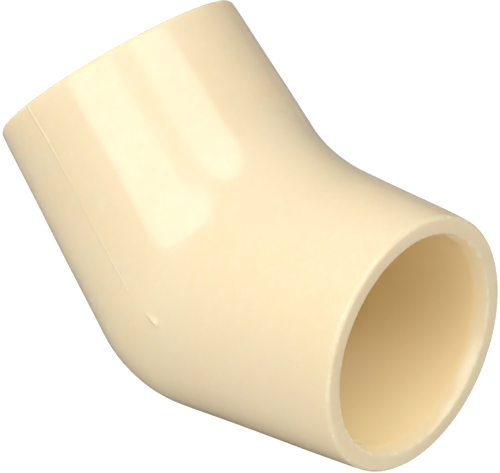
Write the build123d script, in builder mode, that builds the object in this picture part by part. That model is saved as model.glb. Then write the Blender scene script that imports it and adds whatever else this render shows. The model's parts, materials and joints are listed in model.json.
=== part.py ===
from build123d import *
import math
import os

# 45 degree slip elbow for 3/4 inch copper-tube-size pipe, moulded in one piece.
# Frame: the origin is the centre of the lower socket's pipe stop, +X runs out of the lower
# socket, +Z is up, and the bend lies in the XZ plane. The upper socket points up and back.

# Driving dimensions in millimetres and degrees.
bend_angle = 45.0
laying_length = 6.0  # bend centre to each pipe stop
socket_depth = 17.8  # pipe stop to mouth
socket_radius = 11.14  # mean radius of the socket for a pipe of 22.225 mm outside diameter
waterway_radius = 9.08  # bore of the pipe, carried round the bend
lead_in_radius = 11.64  # radius of the chamfer at the mouth's face
lead_in_depth = 1.47
mouth_outer_radius = 13.49
outer_draft = 2.75  # the outside widens from each mouth to the bend
mouth_edge_round = 0.45
stop_edge_round = 0.4
inside_bend_round = 17.0  # blend between the two barrels on the inside of the bend

# Worked-out dimensions. The bend is a sphere about the bend centre, tangent to both barrels.
draft_angle = math.radians(outer_draft)
centre_to_mouth = laying_length + socket_depth
lead_in_start = centre_to_mouth - lead_in_depth
barrel_radius_at_bend = mouth_outer_radius + centre_to_mouth * math.tan(draft_angle)
bend_radius = barrel_radius_at_bend * math.cos(draft_angle)
tangent_distance = bend_radius * math.sin(draft_angle)
tangent_radius = bend_radius * math.cos(draft_angle)

# The lower half lies on one side of the mitre plane, and the upper half is its mirror image.
bend_centre = Vector(-laying_length, 0, 0)
lower_axis = Vector(1, 0, 0)
upper_axis = Vector(-math.cos(math.radians(bend_angle)), 0, math.sin(math.radians(bend_angle)))
mitre_plane = Plane(origin=bend_centre, x_dir=(0, 1, 0), z_dir=lower_axis - upper_axis)
profile_plane = Plane(origin=bend_centre, x_dir=lower_axis, z_dir=(0, -1, 0))
turning_axis = Axis(bend_centre, lower_axis)

os.makedirs("parts", exist_ok=True)


# The passage: a mitred waterway with a ball end, and on each side a pipe stop, a socket and a lead-in.
with BuildPart() as passage:
    with BuildSketch(profile_plane):
        with BuildLine():
            CenterArc((0, 0), waterway_radius, 90, 90)
            Polyline(
                (0, waterway_radius),
                (laying_length, waterway_radius),
                (laying_length, socket_radius),
                (lead_in_start, socket_radius),
                (centre_to_mouth, lead_in_radius),
                (centre_to_mouth, 0),
                (-waterway_radius, 0),
            )
        make_face()
    revolve(axis=turning_axis)
    split(bisect_by=mitre_plane, keep=Keep.TOP)
    mirror(about=mitre_plane)

# The elbow: two tapered barrels and a ball corner, with the passage taken out.
with BuildPart() as elbow_body:
    with BuildSketch(profile_plane):
        with BuildLine():
            CenterArc((0, 0), bend_radius, 90 - outer_draft, 90 + outer_draft)
            Polyline(
                (tangent_distance, tangent_radius),
                (centre_to_mouth, mouth_outer_radius),
                (centre_to_mouth, 0),
                (-bend_radius, 0),
            )
        make_face()
    revolve(axis=turning_axis)
    split(bisect_by=mitre_plane, keep=Keep.TOP)
    mirror(about=mitre_plane)

    # The barrels meet in an elliptical crease on the inside of the bend, which is blended.
    crease = elbow_body.edges().filter_by(GeomType.ELLIPSE)
    fillet(crease, inside_bend_round)

    # Both mouths have a slightly rounded outer edge.
    mouth_edges = elbow_body.edges().filter_by(
        lambda edge: edge.geom_type == GeomType.CIRCLE
        and abs(edge.length - 2 * math.pi * mouth_outer_radius) < 0.01
    )
    fillet(mouth_edges, mouth_edge_round)

    add(passage.part, mode=Mode.SUBTRACT)

    # The inner edge of each pipe stop is eased, so that nothing catches on it.
    stop_edges = elbow_body.edges().filter_by(
        lambda edge: edge.geom_type == GeomType.CIRCLE
        and abs(edge.length - 2 * math.pi * waterway_radius) < 0.01
    )
    fillet(stop_edges, stop_edge_round)

elbow_body.part.label = "elbow_body"
export_step(elbow_body.part, "parts/elbow_body.step")
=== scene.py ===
import json
import math

import bpy
import numpy as np
from mathutils import Matrix, Vector, noise


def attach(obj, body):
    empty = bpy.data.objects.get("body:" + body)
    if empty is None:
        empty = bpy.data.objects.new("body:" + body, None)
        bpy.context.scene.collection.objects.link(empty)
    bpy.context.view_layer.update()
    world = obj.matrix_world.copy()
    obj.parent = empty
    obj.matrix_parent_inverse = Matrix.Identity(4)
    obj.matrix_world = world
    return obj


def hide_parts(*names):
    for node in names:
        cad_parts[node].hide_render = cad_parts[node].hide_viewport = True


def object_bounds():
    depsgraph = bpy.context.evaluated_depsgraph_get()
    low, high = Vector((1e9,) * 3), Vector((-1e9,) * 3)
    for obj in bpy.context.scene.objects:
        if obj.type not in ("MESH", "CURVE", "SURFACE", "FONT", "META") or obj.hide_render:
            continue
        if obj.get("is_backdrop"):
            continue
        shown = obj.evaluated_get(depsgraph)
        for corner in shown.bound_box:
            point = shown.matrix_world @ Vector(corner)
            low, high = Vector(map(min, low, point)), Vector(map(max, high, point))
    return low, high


# A 45 degree slip elbow, moulded in cream plastic. Shapes below are worked out in millimetres about
# the bend centre, where the two socket axes meet, and are moved into the frame's metres at the end.

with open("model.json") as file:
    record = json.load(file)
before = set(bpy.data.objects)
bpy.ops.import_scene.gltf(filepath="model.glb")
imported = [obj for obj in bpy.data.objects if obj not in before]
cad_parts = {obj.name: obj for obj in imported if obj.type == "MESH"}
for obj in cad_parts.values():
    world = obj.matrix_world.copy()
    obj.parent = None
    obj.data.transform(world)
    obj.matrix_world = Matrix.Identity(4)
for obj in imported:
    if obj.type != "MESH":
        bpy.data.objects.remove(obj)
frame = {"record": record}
cad_low, cad_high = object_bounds()
MM = 0.001

# ---------------------------------------------------------------- sizes taken from the frame

mounts = {mount["name"]: mount for mount in frame["record"]["mounts"]}
lower_mount = mounts["lower_socket"]
upper_mount = mounts["upper_socket"]
LOWER_AXIS = np.array(lower_mount["axis"], float)
UPPER_AXIS = np.array(upper_mount["axis"], float)
SOCKET_RADIUS = lower_mount["dims"]["r_mm"]
STRAIGHT_SOCKET = lower_mount["dims"]["length_mm"]
lower_stop = np.array(lower_mount["pos_m"], float)
upper_stop = np.array(upper_mount["pos_m"], float)
half_opening = math.acos(float(LOWER_AXIS @ UPPER_AXIS)) / 2
laying_length = float(np.linalg.norm(upper_stop - lower_stop)) / (2 * math.sin(half_opening))
BEND_CENTRE = lower_stop - laying_length * LOWER_AXIS
STOP = laying_length / MM
MOUTH = (cad_high.x - BEND_CENTRE[0]) / MM
BEND_RADIUS = cad_high.y / MM

# ---------------------------------------------------------------- driving sizes in millimetres

DRAFT = math.radians(2.75)
EDGE_ROUND = 0.45
LEAD_IN_RADIUS = 11.64
WATERWAY_RADIUS = 9.08
INSIDE_BEND_ROUND = 17.0
WATERWAY_BEND_ROUND = 0.5
OUTER_REACH = 14.6
INNER_REACH = 5.2
COLUMNS = 360
SEAM_CROWDING = 0.72


def unit(vector):
    return vector / np.linalg.norm(vector, axis=-1, keepdims=True)


SIDE = unit(np.cross(UPPER_AXIS, LOWER_AXIS))
MITRE = unit(LOWER_AXIS + UPPER_AXIS)
CONE_RADIUS = BEND_RADIUS / math.cos(DRAFT)

# ---------------------------------------------------------------- the skin, as rings round the tube


def column_angles():
    """Angles round the tube from the outside of the bend, crowded at both sides where the seam runs."""
    even = np.linspace(0, 2 * math.pi, COLUMNS, endpoint=False)
    return even + SEAM_CROWDING * np.sin(2 * even) / 2


ANGLES = column_angles()


def outward(axis):
    """The direction square to a socket's axis that points to the outside of the bend."""
    return unit((MITRE @ axis) * axis - MITRE)


def spokes(axis):
    """One unit vector per column, square to the axis."""
    return np.cos(ANGLES)[:, None] * outward(axis) - np.sin(ANGLES)[:, None] * SIDE


def half_bend(axis, radius, draft, inside_round, reach, shares):
    """One ring per share: the points that share of the way along every column, from the mitre to reach.

    A column rolls round the ball end on the outside of the bend, or round the fillet on the inside of it,
    and then runs straight up the barrel, which narrows with the draft.
    """
    across = unit(axis - (axis @ MITRE) * MITRE)
    spoke = spokes(axis)
    normal = math.cos(draft) * spoke + math.sin(draft) * axis
    lean = np.arcsin(normal @ across)
    level = unit(normal - np.sin(lean)[:, None] * across)
    outside = lean >= 0

    offset_radius = (radius + inside_round) / math.cos(draft)
    slope = math.tan(draft)
    along = -offset_radius * (spoke @ across) / (axis @ across - slope * (spoke @ across))
    fillet_centre = along[:, None] * axis + (offset_radius - slope * along)[:, None] * spoke
    centre = np.where(outside[:, None], 0.0, fillet_centre)
    roll = np.where(outside, radius, -inside_round)
    foot = np.where(outside, radius * math.sin(draft), along - inside_round * math.sin(draft))

    arc = roll * lean
    straight = (reach - foot) / math.cos(draft)
    up_barrel = math.cos(draft) * axis - math.sin(draft) * spoke
    rings = []
    for share in shares:
        travelled = share * (arc + straight)
        turned = lean * np.minimum(travelled / np.maximum(arc, 1e-9), 1)
        rolled = np.cos(turned)[:, None] * level + np.sin(turned)[:, None] * across
        beyond = np.maximum(travelled - arc, 0)[:, None] * up_barrel
        rings.append(centre + roll[:, None] * rolled + beyond)
    return rings


def bend(radius, draft, inside_round, reach, count):
    """Rings round the whole bend, from reach along the lower axis to reach along the upper axis."""
    steps = np.linspace(0, 1, count)
    shares = 0.4 * steps + 0.6 * steps**3
    lower = half_bend(LOWER_AXIS, radius, draft, inside_round, reach, shares[1:])
    upper = half_bend(UPPER_AXIS, radius, draft, inside_round, reach, shares)
    return lower[::-1] + upper


def barrel_radius(along):
    return CONE_RADIUS - math.tan(DRAFT) * along


def rounded_corner(corner, before, after, size, count):
    """Points of a rounded corner of an (along, radius) profile, from its before side to its after side."""
    corner = np.array(corner, float)
    to_before = unit(before - corner)
    to_after = unit(after - corner)
    points = []
    for turn in np.linspace(0, math.pi / 2, count):
        points.append(corner + size * ((1 - math.sin(turn)) * to_before + (1 - math.cos(turn)) * to_after))
    return points


def socket_profile():
    """The (along, radius) points of one end: up the barrel, round the mouth and in to the waterway."""
    corners = [
        ((MOUTH, barrel_radius(MOUTH)), EDGE_ROUND, 9),
        ((MOUTH, LEAD_IN_RADIUS), 0.16, 4),
        ((STOP + STRAIGHT_SOCKET, SOCKET_RADIUS), 0.3, 4),
        ((STOP, SOCKET_RADIUS), 0.3, 5),
        ((STOP, WATERWAY_RADIUS), 0.45, 6),
    ]
    spans = [0.38, 0.45, 0.45, 0.9, 0.8]
    first = (OUTER_REACH, barrel_radius(OUTER_REACH))
    last = (INNER_REACH, WATERWAY_RADIUS)
    stops = [first] + [corner for corner, _, _ in corners] + [last]
    points = []
    previous = np.array(first)
    for index, (corner, size, count) in enumerate(corners):
        rounded = rounded_corner(corner, stops[index], stops[index + 2], size, count)
        steps = max(round(float(np.linalg.norm(rounded[0] - previous)) / spans[index]), 1)
        for step in range(1, steps):
            points.append(previous + (rounded[0] - previous) * step / steps)
        points.extend(rounded)
        previous = rounded[-1]
    return points


def elbow_rings():
    """Every ring of the closed skin, in order: outside, upper end, inside, lower end."""
    end = socket_profile()
    rings = bend(BEND_RADIUS, DRAFT, INSIDE_BEND_ROUND, OUTER_REACH, 48)
    for along, radius in end:
        rings.append(along * UPPER_AXIS + radius * spokes(UPPER_AXIS))
    rings.extend(reversed(bend(WATERWAY_RADIUS, 0.0, WATERWAY_BEND_ROUND, INNER_REACH, 14)))
    for along, radius in reversed(end):
        rings.append(along * LOWER_AXIS + radius * spokes(LOWER_AXIS))
    return np.array(rings)


def build_elbow():
    rings = elbow_rings()
    ring_count = len(rings)
    points = rings.reshape(-1, 3) * MM + BEND_CENTRE
    faces = []
    for ring in range(ring_count):
        here = ring * COLUMNS
        there = (ring + 1) % ring_count * COLUMNS
        for column in range(COLUMNS):
            beside = (column + 1) % COLUMNS
            faces.append((here + column, here + beside, there + beside, there + column))
    mesh = bpy.data.meshes.new("elbow_skin")
    mesh.from_pydata(points.tolist(), [], faces)
    mesh.polygons.foreach_set("use_smooth", [True] * len(faces))
    mesh.update()
    elbow = bpy.data.objects.new("elbow_skin", mesh)
    bpy.context.scene.collection.objects.link(elbow)
    return elbow


# ---------------------------------------------------------------- fine relief, in millimetres

SEAM_ANGLE = 90.2
SEAM_WANDER = 1.5
RIDGE_HEIGHT = 0.09
RIDGE_HALF_WIDTH = 0.12
STRIP_DEPTH = 0.04
STRIP_FADE = 2.0
GATE_END = -2.6
GATE_ANGLE = 87.9
GATE_SLANT = 0.42
GATE_HEIGHT = 0.3
GATE_HALF_WIDTH = 0.42
GATE_NARROWING = 0.18
# widths of the mouth edge bands, which carry nicks, wear and a painted highlight
OUTER_EDGE_REACH = 0.4
INNER_EDGE_REACH = 0.25
NICK_DEPTH = 0.015
CROWN_DEPTH = 0.05
CROWN_LENGTH = 2.4
WAVE_HEIGHT = 0.05
RIPPLE_HEIGHT = 0.006


def smooth_step(value, low, high):
    t = np.clip((value - low) / (high - low), 0, 1)
    return t * t * (3 - 2 * t)


def hump(value, middle, half_width):
    return np.exp(-(((value - middle) / half_width) ** 2))


def cloud(points, wavelength, shift):
    """Smooth noise between about -0.5 and 0.5 at each point."""
    offset = Vector((shift, shift, shift))
    return np.array([noise.noise(Vector(p) / wavelength + offset) for p in points])


def skin_places(points, normals):
    """Each vertex's signed distance up its own barrel, radius and angle, and how far it faces out."""
    upper = points @ (UPPER_AXIS - LOWER_AXIS) >= 0
    axis = np.where(upper[:, None], UPPER_AXIS, LOWER_AXIS)
    along = (points * axis).sum(1)
    across = points - along[:, None] * axis
    radius = np.linalg.norm(across, axis=1)
    away = np.where(upper[:, None], outward(UPPER_AXIS), outward(LOWER_AXIS))
    angle = np.degrees(np.arctan2(-(across @ SIDE), (across * away).sum(1)))
    faces_out = smooth_step((normals * across).sum(1) / radius, 0.3, 0.9)
    return np.where(upper, along, -along), radius, angle, faces_out


def seam(place, angle, radius):
    """The mould's witness line on both sides of the upper barrel: a fine ridge beside a lower strip.

    It wanders a little off the middle near the mouth, is plainest there and fades out at the bend.
    """
    middle = SEAM_ANGLE - SEAM_WANDER * smooth_step(place, 19.0, 24.5)
    beside = np.radians(np.abs(angle) - middle) * radius
    plain = 0.3 + 0.7 * smooth_step(place, 13, 21) + 0.3 * hump(place, 4.5, 2.8)
    plain = plain * smooth_step(place, 0, 3)
    ridge = RIDGE_HEIGHT * hump(beside, 0, RIDGE_HALF_WIDTH)
    strip = -STRIP_DEPTH * np.exp(-np.abs(beside) / STRIP_FADE) * smooth_step(-beside, 0.0, 0.22)
    return plain * (ridge + strip)


def gate_mark(place, angle, radius):
    """The torn end of the gate: a raised sliver on one side of the bend, broad at its lower end."""
    from_end = place - GATE_END
    beside = np.radians(angle - GATE_ANGLE) * radius - GATE_SLANT * from_end
    width = GATE_HALF_WIDTH - GATE_NARROWING * np.clip(from_end, 0, 1.8)
    length = smooth_step(from_end, -0.12, 0.12) * smooth_step(-from_end, -1.9, -0.3)
    return GATE_HEIGHT * length * hump(beside, 0, width)


def mouth_edges(place, radius):
    """How near each vertex is to the outer or the inner edge of its mouth, from 0 to 1."""
    depth = MOUTH - np.abs(place)
    outer = np.hypot(depth, radius - barrel_radius(MOUTH))
    inner = np.hypot(depth, radius - LEAD_IN_RADIUS)
    return np.maximum(hump(outer, 0, OUTER_EDGE_REACH), hump(inner, 0, INNER_EDGE_REACH))


def add_relief(elbow):
    """Moves the skin along its normals, and stores the mouth edge bands, which are pale with wear and
    painted highlight, and the bore, which gets painted shade.
    """
    mesh = elbow.data
    count = len(mesh.vertices)
    points = np.empty(count * 3)
    mesh.vertices.foreach_get("co", points)
    points = (points.reshape(-1, 3) - BEND_CENTRE) / MM
    normals = np.empty(count * 3)
    mesh.vertex_normals.foreach_get("vector", normals)
    normals = normals.reshape(-1, 3)
    place, radius, angle, faces_out = skin_places(points, normals)

    # edges: the mouth edge bands, used for real nicks and for pale edges that are partly wear and partly
    # painted highlight
    edges = mouth_edges(place, radius)
    nicks = -NICK_DEPTH * edges * smooth_step(cloud(points, 5.0, 3.7), 0.1, 0.4)
    outer = faces_out * (radius > LEAD_IN_RADIUS + 0.9)
    crown = -CROWN_DEPTH * smooth_step(np.abs(place), MOUTH - CROWN_LENGTH, MOUTH) ** 2
    waves = WAVE_HEIGHT * cloud(points, 8.0, 0.3) + RIPPLE_HEIGHT * cloud(points, 2.2, 5.1)
    marks = seam(place, angle, radius) + gate_mark(place, angle, radius)
    relief = nicks + outer * (marks + crown + waves)
    points = (points + relief[:, None] * normals) * MM + BEND_CENTRE
    mesh.vertices.foreach_set("co", points.ravel())

    # inside marks the bore past the lead-in, where the material lays a darker, yellower painted shade
    inside = smooth_step(-radius, -SOCKET_RADIUS - 0.12, -SOCKET_RADIUS - 0.02)
    for name, values in (("edge_wear", edges), ("inside", inside)):
        attribute = mesh.attributes.new(name, "FLOAT", "POINT")
        attribute.data.foreach_set("value", values.astype(np.float32))
    mesh.update()


# ---------------------------------------------------------------- the camera

AZIMUTH = math.radians(38.6)
ELEVATION = math.radians(25.0)
ROLL = math.radians(3.85)
DISTANCE = 0.6812
LENS = 484.6
AIM_RIGHT = 1.77
AIM_UP = 3.27


def make_camera():
    turn = (
        Matrix.Rotation(AZIMUTH, 3, "Z")
        @ Matrix.Rotation(math.pi / 2 - ELEVATION, 3, "X")
        @ Matrix.Rotation(ROLL, 3, "Z")
    )
    right, up, back = turn.col[0], turn.col[1], turn.col[2]
    aim = Vector(BEND_CENTRE) + (right * AIM_RIGHT + up * AIM_UP) * MM
    data = bpy.data.cameras.new("camera")
    data.lens = LENS
    data.sensor_width = 36.0
    data.clip_start = 0.05
    data.clip_end = 20.0
    camera = bpy.data.objects.new("camera", data)
    camera.matrix_world = Matrix.Translation(aim + back * DISTANCE) @ turn.to_4x4()
    bpy.context.scene.collection.objects.link(camera)
    bpy.context.scene.camera = camera
    return right.copy(), up.copy(), back.copy()


# ---------------------------------------------------------------- node helpers


class Nodes:
    """Short calls for adding nodes to one tree. An input may be a plain value or another node's output."""

    def __init__(self, tree):
        self.tree = tree
        tree.nodes.clear()

    def feed(self, socket, value):
        if isinstance(value, bpy.types.NodeSocket):
            self.tree.links.new(value, socket)
        else:
            socket.default_value = value

    def add(self, kind, settings=None, **inputs):
        node = self.tree.nodes.new(kind)
        for name, value in (settings or {}).items():
            setattr(node, name, value)
        for name, value in inputs.items():
            wanted = name.replace("_", " ")
            self.feed(next(s for s in node.inputs if s.name == wanted and s.enabled), value)
        return node

    def math(self, operation, *values):
        node = self.add("ShaderNodeMath", {"operation": operation})
        for socket, value in zip(node.inputs, values):
            self.feed(socket, value)
        return node.outputs[0]

    def dot(self, first, second):
        node = self.add("ShaderNodeVectorMath", {"operation": "DOT_PRODUCT"})
        self.feed(node.inputs[0], first)
        self.feed(node.inputs[1], second)
        return node.outputs["Value"]

    def mix(self, factor, first, second):
        node = self.add("ShaderNodeMix", {"data_type": "RGBA"}, Factor=factor, A=first, B=second)
        return next(s for s in node.outputs if s.enabled)

    def mix_shader(self, factor, first, second):
        node = self.add("ShaderNodeMixShader", Fac=factor)
        self.feed(node.inputs[1], first.outputs[0])
        self.feed(node.inputs[2], second.outputs[0])
        return node

    def ramp(self, value, low, high, to_low=0.0, to_high=1.0):
        node = self.add(
            "ShaderNodeMapRange",
            {"interpolation_type": "SMOOTHSTEP"},
            Value=value,
            From_Min=low,
            From_Max=high,
            To_Min=to_low,
            To_Max=to_high,
        )
        return node.outputs["Result"]

    def noise(self, place, scale, detail=2.0, roughness=0.5):
        node = self.add("ShaderNodeTexNoise", Vector=place, Scale=scale, Detail=detail, Roughness=roughness)
        return node.outputs["Fac"]

    def attribute(self, name):
        return self.add("ShaderNodeAttribute", {"attribute_name": name}).outputs["Fac"]


def shade(red, green, blue):
    """A colour given as the eight-bit values a screen shows."""
    channels = [((value / 255 + 0.055) / 1.055) ** 2.4 for value in (red, green, blue)]
    return (*channels, 1.0)


def grey(level):
    return (level, level, level, 1.0)


def new_material(name):
    material = bpy.data.materials.new(name)
    material.use_nodes = True
    return material, Nodes(material.node_tree)


# ---------------------------------------------------------------- the cream plastic

CREAM = shade(243, 229, 189)
WARM_CREAM = shade(242, 226, 183)
PALE_CREAM = shade(245, 235, 202)
TAN_SPECK = shade(214, 188, 140)
# Painted shade: the bore's darker, yellower colour stands for the shade and bounced light inside it.
BORE_PAINTED_SHADE = shade(249, 230, 180)
IOR = 1.62
BUMP_DEPTH = 0.006
SUBSURFACE = 0.5
SUBSURFACE_DEPTH = 2.0


def cream_plastic():
    material, nodes = new_material("cream_plastic")
    coordinates = nodes.add("ShaderNodeTexCoord").outputs["Object"]
    place = nodes.add("ShaderNodeVectorMath", {"operation": "SCALE"}, Vector=coordinates, Scale=1 / MM)
    place = place.outputs["Vector"]
    edge = nodes.attribute("edge_wear")

    broad = nodes.noise(place, 0.09, 3.0)
    mottle = nodes.noise(place, 0.9, 4.0, 0.6)
    grain = nodes.noise(place, 6.0, 3.0, 0.7)
    scuffs = nodes.noise(place, 0.5, 3.0, 0.6)

    body = nodes.mix(nodes.ramp(broad, 0.3, 0.7), CREAM, WARM_CREAM)
    body = nodes.mix(nodes.ramp(mottle, 0.45, 0.75, 0.0, 0.35), body, PALE_CREAM)
    body = nodes.mix(nodes.ramp(grain, 0.62, 0.8, 0.0, 0.12), body, TAN_SPECK)
    # painted shade over the bore, wherever inside is set
    body = nodes.mix(nodes.attribute("inside"), body, BORE_PAINTED_SHADE)
    wear_and_highlight = nodes.math("MULTIPLY", edge, nodes.ramp(scuffs, 0.2, 0.7))
    # painted highlight and wear: the mouth edge bands are lightened towards pale cream
    body = nodes.mix(nodes.math("MULTIPLY", wear_and_highlight, 0.45), body, PALE_CREAM)
    nick = nodes.math("MULTIPLY", edge, nodes.ramp(scuffs, 0.66, 0.76))
    body = nodes.mix(nodes.math("MULTIPLY", nick, 0.35), body, TAN_SPECK)

    roughness = nodes.ramp(mottle, 0.3, 0.7, 0.12, 0.18)
    roughness = nodes.math("MULTIPLY_ADD", wear_and_highlight, 0.22, roughness)

    peel = nodes.noise(place, 0.55, 2.0)
    height = nodes.math("MULTIPLY_ADD", grain, 0.08, peel)
    height = nodes.math("MULTIPLY_ADD", nick, -0.5, height)
    bump = nodes.add("ShaderNodeBump", Strength=1.0, Distance=BUMP_DEPTH * MM, Height=height)

    plastic = nodes.add(
        "ShaderNodeBsdfPrincipled",
        {"subsurface_method": "RANDOM_WALK"},
        Base_Color=body,
        Roughness=roughness,
        IOR=IOR,
        Normal=bump.outputs["Normal"],
        Subsurface_Weight=SUBSURFACE,
        Subsurface_Scale=SUBSURFACE_DEPTH * MM,
        Subsurface_Radius=(1.0, 0.55, 0.25),
    )
    nodes.add("ShaderNodeOutputMaterial", Surface=plastic.outputs["BSDF"])
    return material


# ---------------------------------------------------------------- the studio

LIGHT_COLOUR = (0.98, 0.95, 1.0, 1.0)

# Each panel's corners, in degrees right of and above the line from the part to the camera.
LEFT_BOX = [(-3, -3), (-7, 9), (-18, 34), (-36, 32), (-44, 19), (-50, 3), (-42, -16)]
RIGHT_BOX = [(17, 12), (12, 22), (-5, 36), (-4, 46), (3, 54), (38, 52), (47, 38), (43, 26)]
MIDDLE_BOX = [(-3, -3), (17, 12), (12, 22), (-5, 36), (-18, 34), (-7, 9)]
FILL_BOX = [(70, 10), (74, 50), (118, 50), (110, 10)]
BACK_BOX = [(-78, 50), (-134, 68), (-139, 42), (-101, 30)]
BOX_STRENGTH = 2.85
MIDDLE_STRENGTH = 1.4
FILL_STRENGTH = 1.15
BACK_STRENGTH = 4.4

# The card's corners, in millimetres out from the lower mouth and to its side.
CARD = [(1, -24), (22, -24), (22, 4), (1, 4)]
CARD_LIFT = 0.3
CARD_STRENGTH = 0.8

DOME_MIDDLE = (-9, 18)
DOME_DIM = 0.10
DOME_BRIGHT = 0.57
DOME_LOSS_MIRRORED = 0.08

FLOOR_RADIUS = 1.6
FLOOR_SIDES = 64
FLOOR_TONE = 0.65
FLOOR_TONE_MIRRORED = 0.25
FLOOR_GLOW = 0.92
FLOOR_GLOW_STRENGTH = 1.1


def sight(across, above):
    """The direction so many degrees right of and above the line from the part to the camera."""
    a, b = math.radians(across), math.radians(above)
    return right * (math.cos(b) * math.sin(a)) + up * math.sin(b) + back * (math.cos(b) * math.cos(a))


def glowing_panel(name, points, strength):
    """A flat panel of light that the camera doesn't see and that casts no shadow."""
    mesh = bpy.data.meshes.new(name)
    mesh.from_pydata([tuple(p) for p in points], [], [tuple(range(len(points)))])
    material, nodes = new_material(name)
    glow = nodes.add("ShaderNodeEmission", Color=LIGHT_COLOUR, Strength=strength)
    nodes.add("ShaderNodeOutputMaterial", Surface=glow.outputs[0])
    mesh.materials.append(material)
    panel = bpy.data.objects.new(name, mesh)
    bpy.context.scene.collection.objects.link(panel)
    panel.visible_camera = False
    panel.visible_shadow = False
    panel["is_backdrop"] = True
    return panel


def softbox(name, corners, strength):
    """A glowing panel a metre away, with its corners at these angles off the line to the camera."""
    points = [Vector(BEND_CENTRE) + sight(across, above) for across, above in corners]
    return glowing_panel(name, points, strength)


def mouth_card():
    """A small bright card on the floor in front of the lower mouth, which lifts the foot of its rim."""
    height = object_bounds()[0].z + CARD_LIFT * MM
    points = [(cad_high.x + ahead * MM, aside * MM, height) for ahead, aside in CARD]
    card = glowing_panel("mouth_card", points, CARD_STRENGTH)
    card.visible_glossy = False


def studio_dome():
    """Dim light from all round that is strongest behind the camera; the camera itself sees plain white."""
    world = bpy.data.worlds.new("studio")
    bpy.context.scene.world = world
    world.use_nodes = True
    nodes = Nodes(world.node_tree)
    direction = nodes.add("ShaderNodeTexCoord").outputs["Generated"]
    path = nodes.add("ShaderNodeLightPath").outputs
    strength = nodes.ramp(nodes.dot(direction, sight(*DOME_MIDDLE)), -0.35, 1.0, DOME_DIM, DOME_BRIGHT)
    loss = nodes.math("MULTIPLY", path["Is Glossy Ray"], DOME_LOSS_MIRRORED)
    strength = nodes.math("SUBTRACT", strength, loss)
    lit = nodes.add("ShaderNodeBackground", Color=LIGHT_COLOUR, Strength=strength)
    seen = nodes.add("ShaderNodeBackground", Color=(1.0, 1.0, 1.0, 1.0), Strength=1.0)
    whole = nodes.mix_shader(path["Is Camera Ray"], lit, seen)
    nodes.add("ShaderNodeOutputWorld", Surface=whole.outputs[0])


def floor_material():
    """Near-white to the camera, with a light contact shadow, clear from below and grey to all else."""
    material, nodes = new_material("pale_floor")
    path = nodes.add("ShaderNodeLightPath").outputs
    camera_ray = path["Is Camera Ray"]
    tone = nodes.mix(path["Is Glossy Ray"], grey(FLOOR_TONE), grey(FLOOR_TONE_MIRRORED))
    matte = nodes.add("ShaderNodeBsdfDiffuse", Color=tone)
    glow = nodes.add("ShaderNodeEmission", Strength=FLOOR_GLOW_STRENGTH)
    seen = nodes.mix_shader(nodes.math("MULTIPLY", camera_ray, FLOOR_GLOW), matte, glow)
    from_below = nodes.add("ShaderNodeNewGeometry").outputs["Backfacing"]
    clear = nodes.add("ShaderNodeBsdfTransparent")
    whole = nodes.mix_shader(nodes.math("MULTIPLY", camera_ray, from_below), seen, clear)
    nodes.add("ShaderNodeOutputMaterial", Surface=whole.outputs[0])
    return material


def pale_floor():
    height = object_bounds()[0].z
    turns = [2 * math.pi * step / FLOOR_SIDES for step in range(FLOOR_SIDES)]
    rim = [(FLOOR_RADIUS * math.cos(turn), FLOOR_RADIUS * math.sin(turn), height) for turn in turns]
    mesh = bpy.data.meshes.new("pale_floor")
    mesh.from_pydata(rim, [], [tuple(range(FLOOR_SIDES))])
    mesh.materials.append(floor_material())
    floor = bpy.data.objects.new("pale_floor", mesh)
    bpy.context.scene.collection.objects.link(floor)
    floor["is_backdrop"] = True


elbow = build_elbow()
add_relief(elbow)
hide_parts("elbow_body")
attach(elbow, "root")
elbow.data.materials.append(cream_plastic())
right, up, back = make_camera()
softbox("left_softbox", LEFT_BOX, BOX_STRENGTH)
softbox("right_softbox", RIGHT_BOX, BOX_STRENGTH)
softbox("middle_softbox", MIDDLE_BOX, MIDDLE_STRENGTH)
softbox("back_softbox", BACK_BOX, BACK_STRENGTH).visible_glossy = False
softbox("fill_panel", FILL_BOX, FILL_STRENGTH).visible_glossy = False
mouth_card()
studio_dome()
pale_floor()
bpy.context.scene.view_settings.view_transform = "Standard"
